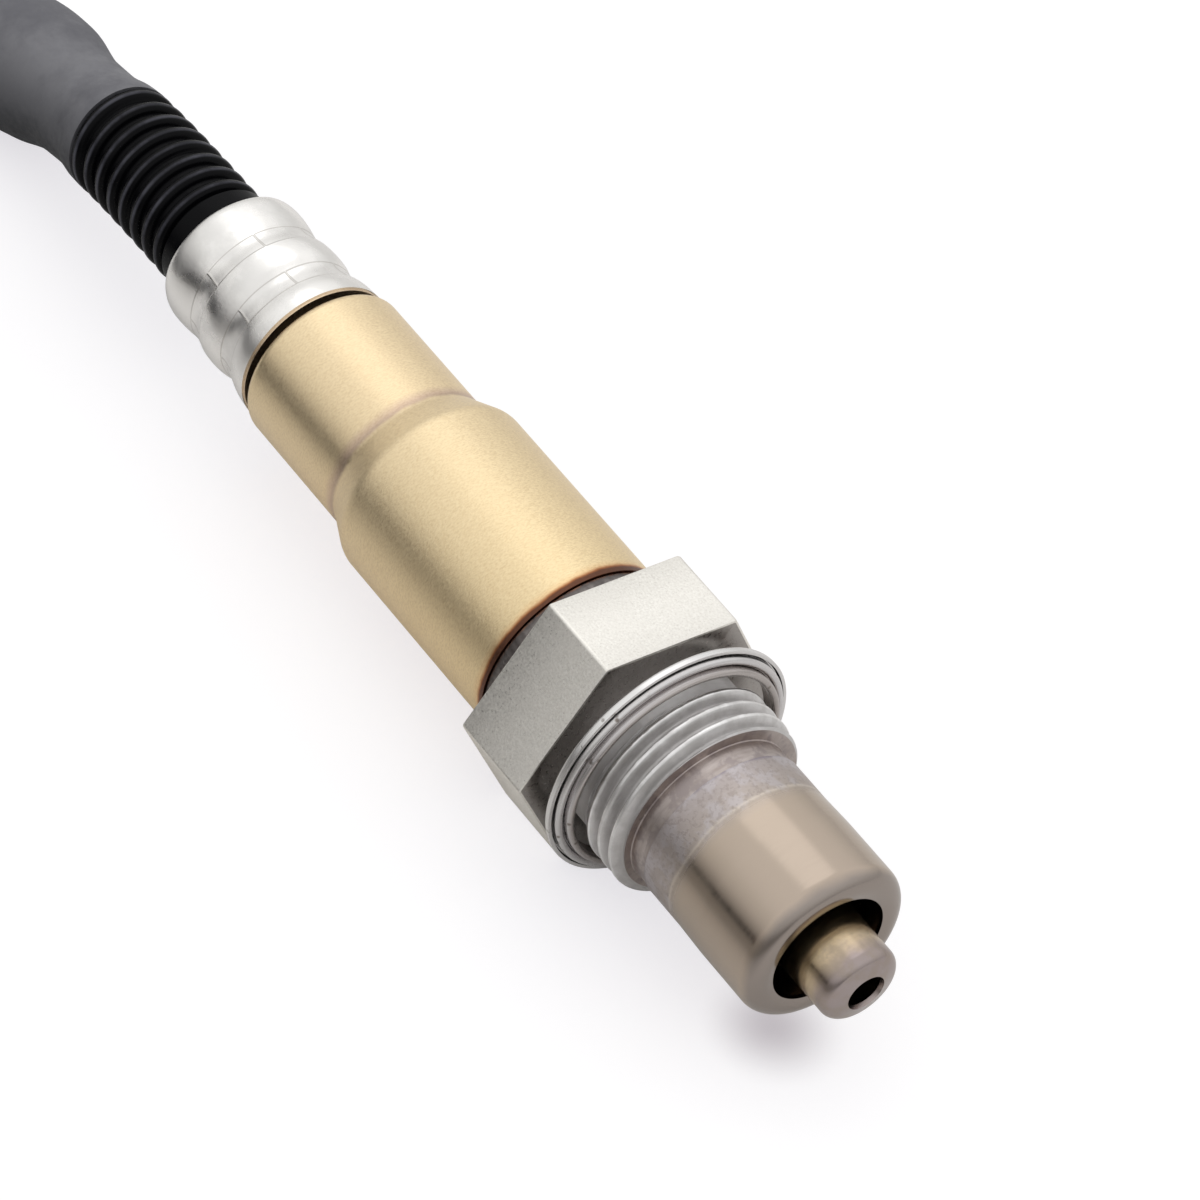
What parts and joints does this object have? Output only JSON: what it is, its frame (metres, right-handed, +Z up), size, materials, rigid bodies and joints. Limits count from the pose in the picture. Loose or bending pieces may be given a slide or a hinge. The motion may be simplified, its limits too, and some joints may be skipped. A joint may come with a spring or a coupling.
{
  "type": "exhaust particulate matter sensor",
  "caption": "Screw-in exhaust soot sensor: hexagon and thread, double gas shield, stepped sleeve, crimped ferrule, ribbed boot, coiled lead and plug.",
  "frame": {"origin": "on the sensor's axis, in the front face of the hexagon", "axes": "+X along the sensor towards the tip in the gas, +Z up, square to the flat that it lies on"},
  "size_m": [0.1832, 0.1341, 0.023],
  "materials": {
    "housing_steel": "fine-milled stainless steel, satin",
    "ring_steel": "polished stainless sheet with small pits",
    "shield_steel": "heat-tinted satin steel, warm taupe",
    "nozzle_steel": "heat-tinted satin steel, olive bronze",
    "gilt_steel": "satin steel, pale gold, brushed round",
    "ferrule_steel": "bright pressed sheet, satin",
    "spring_steel": "plain spring steel",
    "element_ceramic": "sintered ceramic, matt",
    "white_ceramic": "fired ceramic, matt",
    "packing_powder": "pressed mineral powder",
    "contact_metal": "tinned and gilt sheet",
    "lead_insulation": "fluoropolymer, smooth",
    "grommet_rubber": "soft, matt",
    "boot_rubber": "moulded, glossy black",
    "cuff_rubber": "moulded, matt dark grey",
    "cable_jacket": "extruded, satin black",
    "tie_strap": "woven strap",
    "plug_plastic": "moulded, fine grain",
    "lock_plastic": "moulded, fine grain",
    "seal_silicone": "soft silicone"
  },
  "bodies": {
    "root": {"hex_housing": "housing_steel", "sealing_ring": "ring_steel", "outer_shield": "shield_steel", "inner_shield": "nozzle_steel", "sensor_element": "element_ceramic", "body_sleeve": "gilt_steel", "holder_clip": "spring_steel", "contact_springs": "contact_metal", "inner_leads": "lead_insulation", "grommet": "grommet_rubber", "crimp_ferrule": "ferrule_steel", "ferrule_liner": "gilt_steel", "front_insulator": "white_ceramic", "powder_seal": "packing_powder", "rear_insulator": "white_ceramic", "press_ring": "spring_steel", "contact_holder_upper": "white_ceramic", "contact_holder_lower": "white_ceramic", "corrugated_boot": "boot_rubber", "cable_cuff": "cuff_rubber", "inner_cable": "cable_jacket", "harness_lead_in": "cable_jacket", "harness_coil": "cable_jacket", "harness_tail": "cable_jacket", "coil_ties": "tie_strap", "plug_housing": "plug_plastic", "plug_lock": "lock_plastic", "plug_front_seal": "seal_silicone", "plug_terminals": "contact_metal", "plug_wire_seal": "seal_silicone", "plug_rear_cap": "plug_plastic"}
  },
  "joints": []
}
